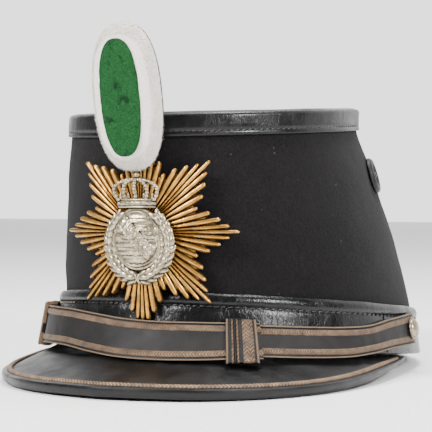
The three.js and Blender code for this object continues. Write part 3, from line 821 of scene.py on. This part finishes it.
def slider_piece(side):
    """A slider: its sleeve, with thin edge pipings, narrow stripes and one wide braid over its front."""
    shape = Shape()
    middle = SLIDERS[side]
    front = STRAP_LAYER + STRAP_WALL + AIR
    steps = 14
    slider_sleeve(shape, middle, front, steps, 1 if side == "right" else 0)
    # Where each stripe starts and ends across the slider, and its look: leather, braid or edge.
    stripes = [(0.0, 0.07, 2), (0.17, 0.23, 1), (0.25, 0.31, 0), (0.33, 0.39, 1), (0.52, 0.86, 1),
               (0.92, 0.99, 2)]
    over, under, bulge = 1.5, front + 0.9, 0.6
    for low, high, number in stripes:
        lift = front + (1.35 if number else 1.2)
        rows = []
        for n in range(steps + 1):
            angle = middle + (low + (high - low) * n / steps - 0.5) * SLIDER_DEGREES
            height = strap_height(angle)
            soft = bulge * math.sin(math.pi * n / steps)
            downs = [-over, -over + 0.7, height * 0.25, height * 0.5, height * 0.75, height + over - 0.7,
                     height + over]
            outer = [strap_point(angle, d, lift + soft - (0.55 if d in (downs[0], downs[-1]) else 0))
                     for d in downs]
            inner = [strap_point(angle, d, under) for d in downs]
            rows.append(outer + inner[::-1])
        across = (high - low) * SLIDER_WIDTH / steps
        shape.sweep(rows, look=number, flat=lambda i, j: (min(j, 13 - j) * 3.2, i * across))
    loop = make(f"slider_{side}_leather", shape, look("strap"), look("braid"), look("edge"))
    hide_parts(f"slider_{side}")


def turned(shape, at, across, up, out, profile, degrees):
    """A round piece standing on a surface, from a profile of (radius, height) points."""
    turns = [math.radians(a) for a in range(0, 360, degrees)]
    shape.sweep([[at + across * (r * math.cos(t)) + up * (r * math.sin(t)) + out * z for t in turns]
                 for r, z in profile])


def button_piece(side):
    """A domed silver button over the end of the strap."""
    angle = BUTTON_ANGLE if side == "left" else -BUTTON_ANGLE
    place = local_frame(band_point, angle, BUTTON_HEIGHT, 0.8 + STRAP_WALL + 0.6)
    profile = [(0.01, 0), (4.9, 0), (5.2, 0.25), (5.2, 0.7), (4.95, 0.95), (4.7, 0.85)]
    dome = [t * math.pi / 20 for t in range(1, 10)]
    profile += [(4.7 * math.cos(t), 0.85 + 2.35 * math.sin(t)) for t in dome]
    profile += [(0.01, 3.2)]
    shape = Shape()
    turned(shape, *place, profile, 10)
    knob = make(f"silver_button_{side}", shape, look("silver"))
    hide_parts(f"button_{side}")


def build_vents(settings):
    """A small blackened air vent high on each side."""
    profile = [(0.01, 0), (8.5, 0), (8.7, 0.3), (8.6, 0.9), (8.1, 1.6), (7.4, 2.1), (6.6, 2.2), (5.8, 1.9),
               (5.0, 1.3), (4.6, 0.8), (1.7, 0.8), (1.6, 1.6), (1.3, 2.1), (0.6, 2.2), (0.01, 2.2)]
    for side, angle in (("left", 106.5), ("right", -106.5)):
        shape = Shape()
        turned(shape, *local_frame(body_point, angle, 83.5, AIR), profile, 8)
        vent = make(f"air_vent_{side}", shape, look("dark"))
        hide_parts(f"vent_{side}")


# ---------------------------------------------------------------- star and arms

STAR_RAYS = [(0, 1.0), (3.7, 0.9), (8.8, 0.82), (15.2, 0.73), (22.5, 0.63)]


def build_star(settings):
    """The gilt star: a thin plate under many half-round rays with blunt tips."""
    shape = Shape()
    rays = []
    for group in range(8):
        for offset, length in STAR_RAYS:
            for side in ((1,) if offset in (0, 22.5) else (1, -1)):
                rays.append((group * 45 + side * offset, STAR_REACH * length))
    rays.sort()
    count = len(rays)
    for n, (angle, length) in enumerate(rays):
        before = angle - rays[n - 1][0] if n else angle + 360 - rays[-1][0]
        after = rays[(n + 1) % count][0] - angle if n < count - 1 else 360 + rays[0][0] - angle
        spacing = math.radians((before + after) / 2)
        s, c = math.sin(math.radians(angle)), math.cos(math.radians(angle))
        rows = []
        places = [9 + (length - 11) * k / 10 for k in range(11)]
        places += [length - 1.2, length - 0.6, length - 0.2, length]
        for r in places:
            left = length - r
            half = min(spacing * r * 0.53, 2.1) * (0.56 + 0.44 * min(left / 9, 1))
            blunt = math.sqrt(max(1 - ((1.3 - left) / 1.3) ** 2, 0.01)) if left < 1.3 else 1
            half *= blunt
            crest = (1.35 + 0.5 * min(left / 20, 1)) * (0.35 + 0.65 * blunt)
            row = []
            for k in range(7):
                t = math.pi * k / 6
                x, z = half * math.cos(t), (crest + 0.55) * math.sin(t) ** 0.75 - 0.55
                row.append(star_point(r * s + x * c, r * c - x * s, z))
            rows.append(row)
        shape.sweep(rows)
    plate = []
    outline = []
    for n, (angle, length) in enumerate(rays):
        following = rays[(n + 1) % count]
        outline.append((angle, length - 1.3))
        gap_angle = (angle + following[0] + (360 if n == count - 1 else 0)) / 2
        outline.append((gap_angle, 0.93 * min(length, following[1])))
    corners = [(r * math.sin(math.radians(a)), r * math.cos(math.radians(a))) for a, r in outline]
    for share, z in ((0.02, -1.0), (0.5, -1.0), (0.97, -1.0), (1.0, -0.6), (0.97, 0.1), (0.5, 0.5),
                     (0.02, 0.5)):
        plate.append([star_point(share * x, share * y, z) for x, y in corners])
    shape.sweep(plate)
    star = make("gilt_star", shape, look("gilt"), smooth=50)
    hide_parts("star")


def build_arms(settings):
    """The silver arms: a domed oval shield in a laurel wreath under an arched crown."""
    shape = Shape()
    base = 2.3

    def at(x, y, z):
        return star_point(x, y, base + z)

    # Shield: bars across it and an ornate garland slanting down from the wearer's right.
    rows = []
    for ring_number in range(43):
        share = max(ring_number / 40, 0.004)
        row = []
        for n in range(160):
            t = 2 * math.pi * n / 160
            s = min(share, 1.0)
            x, y = 10.9 * s * math.cos(t), 12.8 * s * math.sin(t)
            z = 1.6 + 4.4 * math.sqrt(max(1 - 0.9 * s * s, 0))
            if share > 1.0:
                z = 0.0
            elif s < 0.86:
                bar = 0.32 * math.tanh(5 * math.sin(2 * math.pi * y / 3.5))
                grain = 0.12 * math.sin(2 * math.pi * y / 0.6)
                across = (x * 0.74 + y * 0.67) - 0.8
                along = (x * 0.67 - y * 0.74)
                if abs(across) < 3.0:
                    edge = 0.35 * math.exp(-((abs(across) - 2.55) / 0.35) ** 2)
                    leaf = 0.6 * abs(math.sin(math.pi * along / 2.6)) * math.exp(-(across / 1.3) ** 2)
                    drop = math.sin(2 * math.pi * along / 1.3) * math.cos(2 * math.pi * across / 1.6)
                    z += 0.35 + edge + leaf + 0.35 * max(drop, 0)
                else:
                    z += bar + grain * 0.5
                if abs(across) >= 3.0 and x > 2 and abs(y) < 5:
                    z += 0.3 * rough((x, y, 0), 0.9, 4)
            row.append(at(x, y + SHIELD_UP, z))
        rows.append(row)
    shape.sweep(rows)

    def tube(points, radius, around=8, closed=False):
        """A round wire through points of the flat place; a list of radii makes it taper."""
        rows = []
        last = len(points) - 1
        for i, p in enumerate(points):
            before = Vector(points[i - 1] if i or closed else p)
            after = Vector(points[(i + 1) % len(points)] if i < last or closed else p)
            ahead = (after - before).normalized()
            side = ahead.cross(Vector((0, 0, 1))).normalized()
            up = side.cross(ahead)
            r = radius[i] if isinstance(radius, list) else radius
            rows.append([at(*(Vector(p) + side * (r * math.cos(2 * math.pi * k / around))
                              + up * (r * math.sin(2 * math.pi * k / around)))) for k in range(around)])
        shape.sweep(rows, closed_rows=closed)

    def oval_wire(a, b, z, radius, count=72):
        turns = [2 * math.pi * k / count for k in range(count)]
        tube([(a * math.cos(t), b * math.sin(t) + SHIELD_UP, z) for t in turns], radius, closed=True)

    oval_wire(10.9, 12.8, 2.5, 0.85)
    oval_wire(9.8, 11.6, 3.9, 0.28)

    # Wreath: a stem each side, with leaves in threes and a berry between them.
    def wreath(t, out=0.0, z=0.0):
        a = math.radians(t)
        return Vector(((13.0 + out) * math.sin(a), -5.2 - (14.4 + out) * math.cos(a), z))

    rng = random.Random(11)
    for side in (1, -1):
        tube([tuple(wreath(side * t, 0, 1.7)) for t in range(2, 150, 4)], 1.5)
        for n in range(12):
            t = 9 + n * 12
            for lean, out, lift in ((30, 1.5, 2.4), (-30, -1.4, 2.6), (0, 0.1, 3.3)):
                centre = wreath(side * (t + (3.5 if lean == 0 else 0)), out, lift)
                a = math.radians(side * t)
                ahead = Vector((math.cos(a), math.sin(a), 0)) * side
                turn = math.radians(lean + rng.uniform(-10, 10)) * side
                ahead = Vector((ahead.x * math.cos(turn) + ahead.y * math.sin(turn),
                                ahead.y * math.cos(turn) - ahead.x * math.sin(turn), 0.12)).normalized()
                across = Vector((-ahead.y, ahead.x, 0)).normalized()
                up = ahead.cross(across)
                up = up if up.z > 0 else -up

                def leaf(x, y, z):
                    ridge = 0.22 * math.exp(-(y / 0.3) ** 2) if z > 0 else 0
                    return at(*(centre + ahead * x + across * y + up * (z + ridge - 0.05 * x * x)))

                shape.blob(leaf, (3.3, 1.45, 0.95), around=10, along=8, point=1.25)
            if n % 2:
                for out in (2.6, -2.3):
                    berry = wreath(side * (t + 4.6), out, 2.5)
                    shape.blob(lambda x, y, z: at(*(berry + Vector((x, y, z)))), (0.6, 0.6, 0.6), 8, 5)
    # The tie at the foot of the wreath.
    for a in (-28, 28):
        bow = wreath(0, 0.2, 2.9)
        c, s = math.cos(math.radians(a)), math.sin(math.radians(a))
        shape.blob(lambda x, y, z: at(*(bow + Vector((x * s + y * c, x * c - y * s, z)))),
                   (2.9, 0.8, 1.1), 10, 7)

    # Crown: a band with stones, five beaded arches, a ball and its stem.
    foot = 12.2
    for y, radius in ((foot - 1.3, 0.5), (foot + 1.7, 0.5)):
        tube([(x * 0.84, y, 2.9 + 1.4 * math.cos(x * 0.15)) for x in range(-10, 11)], radius)
    tube([(x * 0.84, foot + 0.2, 2.4 + 1.4 * math.cos(x * 0.15)) for x in range(-10, 11)], 1.3)
    for k in range(-3, 4):
        stone = Vector((k * 2.5, foot + 0.2, 3.6 + 1.4 * math.cos(k * 0.38)))
        shape.blob(lambda x, y, z: at(*(stone + Vector((x, y, z)))), (0.85, 0.6, 0.6), 8, 5)
    for lean in (-1, -0.52, 0.02, 0.56, 1):
        route = []
        for n in range(17):
            t = n / 16
            bow = math.sin(math.pi * min(t * 1.15, 1)) * 2.6
            x = lean * (8.0 * (1 - t ** 2.6) + bow * 0.85)
            y = foot + 1.8 + 8.6 * math.sin(t * math.pi / 2) ** 1.1
            route.append((x, y, 3.4 + 1.9 * math.sin(math.pi * t) * (1 - 0.4 * abs(lean))))
        tube(route, 0.75)
        for n in range(0, 17, 2):
            bead = Vector(route[n]) + Vector((0, 0, 0.45))
            shape.blob(lambda x, y, z: at(*(bead + Vector((x, y, z)))), (0.86, 0.86, 0.7), 8, 5)
    # Small leaves that stand on the band between the arches.
    for k in (-2, -1, 0, 1, 2):
        tip = Vector((k * 3.6, foot + 3.1, 3.6))
        shape.blob(lambda x, y, z: at(*(tip + Vector((y, x, z)))), (1.5, 0.8, 0.5), 8, 6, point=1.3)
    tube([(0, foot + 9.6, 2.6), (0, foot + 12.2, 2.6)], 0.6)
    for y, r in ((foot + 9.9, 1.05), (foot + 12.0, 1.4)):
        shape.blob(lambda x, u, z: at(x, y + u, 2.8 + z), (r, r, r * 0.9), 12, 8)
    arms = make("silver_arms", shape, look("silver"), smooth=50)
    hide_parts("arms")


# ---------------------------------------------------------------- cockade

def pad_height(share):
    """Height of the domed pad over its back, by share of the way out to its edge."""
    return 1.9 + 8.0 * max(1 - share ** 4.2, 0) ** 0.62


def cockade_ring(height, width, share, z, count=120):
    points = []
    for n in range(count):
        x, y = oval(height / 2 * share, width / 2 * share, n * 360 / count, 0, COCKADE_POWER)
        points.append((x, y + COCKADE_SIZE[0] / 2, z))
    return points


def build_cockade(settings):
    """The oval cockade: a padded white wool dome, a green middle, its iron back and hidden prong."""
    pad = Shape()
    rows = [cockade_ring(*COCKADE_SIZE, 0.02, 1.9), cockade_ring(*COCKADE_SIZE, 0.8, 1.9)]
    shares = [0.985, 0.998, 1.0, 0.995, 0.985, 0.97, 0.95, 0.92, 0.89, 0.86, 0.83, 0.8, 0.77, 0.74, 0.7, 0.6,
              0.4, 0.02]
    rows += [cockade_ring(*COCKADE_SIZE, s, pad_height(s)) for s in shares]
    out = []
    for i, row in enumerate(rows):
        new = []
        for x, y, z in row:
            fuzz = 0.22 * rough((x, y, z), 1.1, 3) + 0.2 * rough((x, y, z), 3.2, 5) if i > 2 else 0
            new.append(cockade_point(x, y, z + fuzz))
        out.append(new)
    pad.sweep(out)

    # Loose fibres that stand off the wool.
    rng = random.Random(5)
    half_length, half_width = (size / 2 for size in COCKADE_SIZE)
    for _ in range(settings.fibres):
        share = rng.uniform(0.7, 1.0) ** 0.5
        t = rng.uniform(0, 360)
        x, y = oval(half_length * share, half_width * share, t, 0, COCKADE_POWER)
        y += half_length
        z = pad_height(share)
        lean = Vector((x / half_width, (y - half_length) / half_length, 0)) * share ** 5
        lean += Vector((0, 0, 1.1 - share ** 6))
        lean += Vector((rng.uniform(-0.9, 0.9), rng.uniform(-0.9, 0.9), rng.uniform(-0.5, 0.5)))
        lean.normalize()
        root = Vector((x, y, z - 0.15))
        end = root + lean * rng.uniform(0.5, 1.5)
        side = lean.orthogonal().normalized() * 0.07
        other = lean.cross(side).normalized() * 0.07
        start_at = len(pad.verts)
        for p in (root + side, root - side * 0.5 + other, root - side * 0.5 - other, end):
            pad.verts.append(cockade_point(*p))
            pad.flat.append((0, 0))
        a, b, c, d = range(start_at, start_at + 4)
        pad.faces += [(a, c, b), (a, b, d), (b, c, d), (c, a, d)]
        pad.looks += [0] * 4
    wool_pad = make("white_wool_pad", pad, look("white"), smooth=60)
    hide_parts("cockade_pad")

    middle = Shape()
    rows = []
    for share, z in ((0.02, 8.6), (0.9, 8.6), (0.99, 9.0), (1.0, 9.6), (0.985, 10.0), (0.95, 10.3),
                     (0.85, 10.42), (0.7, 10.45), (0.5, 10.45), (0.25, 10.45), (0.02, 10.45)):
        row = []
        for x, y, z in cockade_ring(*INLAY_SIZE, share, z):
            uneven = 0.45 * rough((x, y, 0), 2.0, 8) + 0.3 * rough((x, y, 0), 0.9, 2)
            edge = 1 + 0.02 * rough((x, y, 0), 2.5, 1)
            row.append(cockade_point(x * edge, y, z + (uneven * 0.6 if z > 9.5 else 0)))
        rows.append(row)
    middle.sweep(rows)
    green = make("green_wool_middle", middle, look("green"), smooth=60)
    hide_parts("cockade_inlay")

    back = Shape()
    height, width = (size - 0.4 for size in COCKADE_SIZE)
    rows = [[cockade_point(*p) for p in cockade_ring(height, width, share, z)]
            for share, z in ((0.02, 0), (0.97, 0), (1.0, 0.3), (1.0, 1.3), (0.98, 1.6), (0.02, 1.6))]
    back.sweep(rows)
    iron = make("cockade_iron_back", back, look("dark"))
    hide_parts("cockade_back")

    # The hidden prong is a plain round post.
    bpy.ops.object.select_all(action="DESELECT")
    a = hat(*cockade_point(0, 21, -0.3))
    b = hat(*cockade_point(0, 21, -4.5))
    turn = (b - a).to_track_quat("Z", "Y").to_euler()
    bpy.ops.mesh.primitive_cylinder_add(vertices=32, radius=2.2 * MM, depth=(b - a).length,
                                        location=(a + b) / 2, rotation=turn)
    prong = bpy.context.active_object
    prong.name = "cockade_prong_post"
    bpy.ops.object.transform_apply(location=True, rotation=True, scale=True)
    prong.data.materials.append(look("dark"))
    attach(prong, "root")
    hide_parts("cockade_prong")


# ---------------------------------------------------------------- stage

def build_stage(settings):
    """A plain pale floor, soft studio light and the camera."""
    bpy.ops.object.select_all(action="DESELECT")
    bpy.ops.mesh.primitive_plane_add(size=8, location=(0, 0, 0))
    floor = bpy.context.active_object
    floor.name = "pale_floor"
    floor.data.materials.append(look("floor"))
    bpy.ops.mesh.primitive_plane_add(size=12, location=(0, 3.5, 0), rotation=(math.radians(90), 0, 0))
    backdrop = bpy.context.active_object
    backdrop.name = "lit_backdrop"
    backdrop.data.materials.append(look("backdrop"))
    world = bpy.data.worlds.new("studio")
    bpy.context.scene.world = world
    world.use_nodes = True
    world.node_tree.nodes["Background"].inputs["Color"].default_value = (1.0, 1.0, 1.0, 1.0)
    world.node_tree.nodes["Background"].inputs["Strength"].default_value = settings.fill_light
    view = Vector((0.4199, -0.9075, 0.0086))
    for name, place, size, energy in (
            ("key_softbox", (-0.55, -1.1, 0.85), 0.4, 42.0),
            ("right_softbox", (1.25, -0.55, 0.75), 0.35, 30.0),
            ("top_softbox", (0.1, 0.1, 1.3), 0.6, 27.0)):
        bpy.ops.object.light_add(type="AREA", location=place)
        lamp = bpy.context.active_object
        lamp.name = name
        lamp.data.size = size
        lamp.data.energy = energy
        lamp.rotation_euler = (Vector(place) - Vector((0, 0, 0.07))).to_track_quat("Z", "Y").to_euler()
    data = bpy.data.cameras.new("main_camera")
    data.lens = 127.7
    data.sensor_width = 36.0
    data.shift_y = settings.shift
    camera = bpy.data.objects.new("main_camera", data)
    bpy.context.scene.collection.objects.link(camera)
    camera.location = (0.3039, -0.6638, 0.08405)
    camera.rotation_euler = view.to_track_quat("Z", "Y").to_euler()
    bpy.context.scene.camera = camera


# ---------------------------------------------------------------- add-on

class ShakoSettings(bpy.types.PropertyGroup):
    segments: bpy.props.IntProperty(
        name="Segments", description="Steps round the hat in its shells", default=240, min=60, max=480)
    fibres: bpy.props.IntProperty(
        name="Fibres", description="Loose wool fibres on the cockade", default=9000, min=0, max=20000)
    fill_light: bpy.props.FloatProperty(
        name="Fill light", description="Strength of the even light from all round",
        default=0.42, min=0, max=5)
    shift: bpy.props.FloatProperty(
        name="Camera shift", description="How far the picture is shifted up the sensor", default=-0.0244)


class BuildStep:
    """What every step of the build shares: it runs one function and raises if it makes nothing."""

    bl_options = {"REGISTER", "UNDO"}
    steps = ()

    def execute(self, context):
        before = len(bpy.data.objects)
        for step in self.steps:
            step(context.scene.shako)
        if len(bpy.data.objects) == before:
            raise RuntimeError(f"{self.bl_label} made nothing")
        return {"FINISHED"}


class SHAKO_OT_body(BuildStep, bpy.types.Operator):
    """Adds the cloth body, head band, crown rim, crown top and side vents"""

    bl_idname = "shako.add_body"
    bl_label = "Add body"
    steps = (build_body, build_vents)


class SHAKO_OT_peak(BuildStep, bpy.types.Operator):
    """Adds the peak with its binding and piping"""

    bl_idname = "shako.add_peak"
    bl_label = "Add peak"
    steps = (build_peak,)


class SHAKO_OT_strap(BuildStep, bpy.types.Operator):
    """Adds the chin strap, its sliders and buttons"""

    bl_idname = "shako.add_strap"
    bl_label = "Add chin strap"
    steps = (build_strap,)


class SHAKO_OT_badge(BuildStep, bpy.types.Operator):
    """Adds the gilt star and the silver arms"""

    bl_idname = "shako.add_badge"
    bl_label = "Add star and arms"
    steps = (build_star, build_arms)


class SHAKO_OT_cockade(BuildStep, bpy.types.Operator):
    """Adds the wool cockade"""

    bl_idname = "shako.add_cockade"
    bl_label = "Add cockade"
    steps = (build_cockade,)


class SHAKO_OT_stage(BuildStep, bpy.types.Operator):
    """Adds the floor, the lights and the camera"""

    bl_idname = "shako.add_stage"
    bl_label = "Add stage"
    steps = (build_stage,)


class SHAKO_PT_panel(bpy.types.Panel):
    """The panel of the add-on"""

    bl_idname = "SHAKO_PT_panel"
    bl_label = "Shako"
    bl_space_type = "VIEW_3D"
    bl_region_type = "UI"
    bl_category = "Shako"

    def draw(self, context):
        for name in ("segments", "fibres", "fill_light", "shift"):
            self.layout.prop(context.scene.shako, name)
        for operator in OPERATORS:
            self.layout.operator(operator.bl_idname)


OPERATORS = (SHAKO_OT_body, SHAKO_OT_peak, SHAKO_OT_strap, SHAKO_OT_badge, SHAKO_OT_cockade, SHAKO_OT_stage)
CLASSES = (ShakoSettings,) + OPERATORS + (SHAKO_PT_panel,)


def register():
    for cls in CLASSES:
        bpy.utils.register_class(cls)
    bpy.types.Scene.shako = bpy.props.PointerProperty(type=ShakoSettings)


def unregister():
    del bpy.types.Scene.shako
    for cls in reversed(CLASSES):
        bpy.utils.unregister_class(cls)


def main():
    register()
    bpy.ops.shako.add_body()
    bpy.ops.shako.add_peak()
    bpy.ops.shako.add_strap()
    bpy.ops.shako.add_badge()
    bpy.ops.shako.add_cockade()
    bpy.ops.shako.add_stage()


if __name__ == "__main__":
    main()
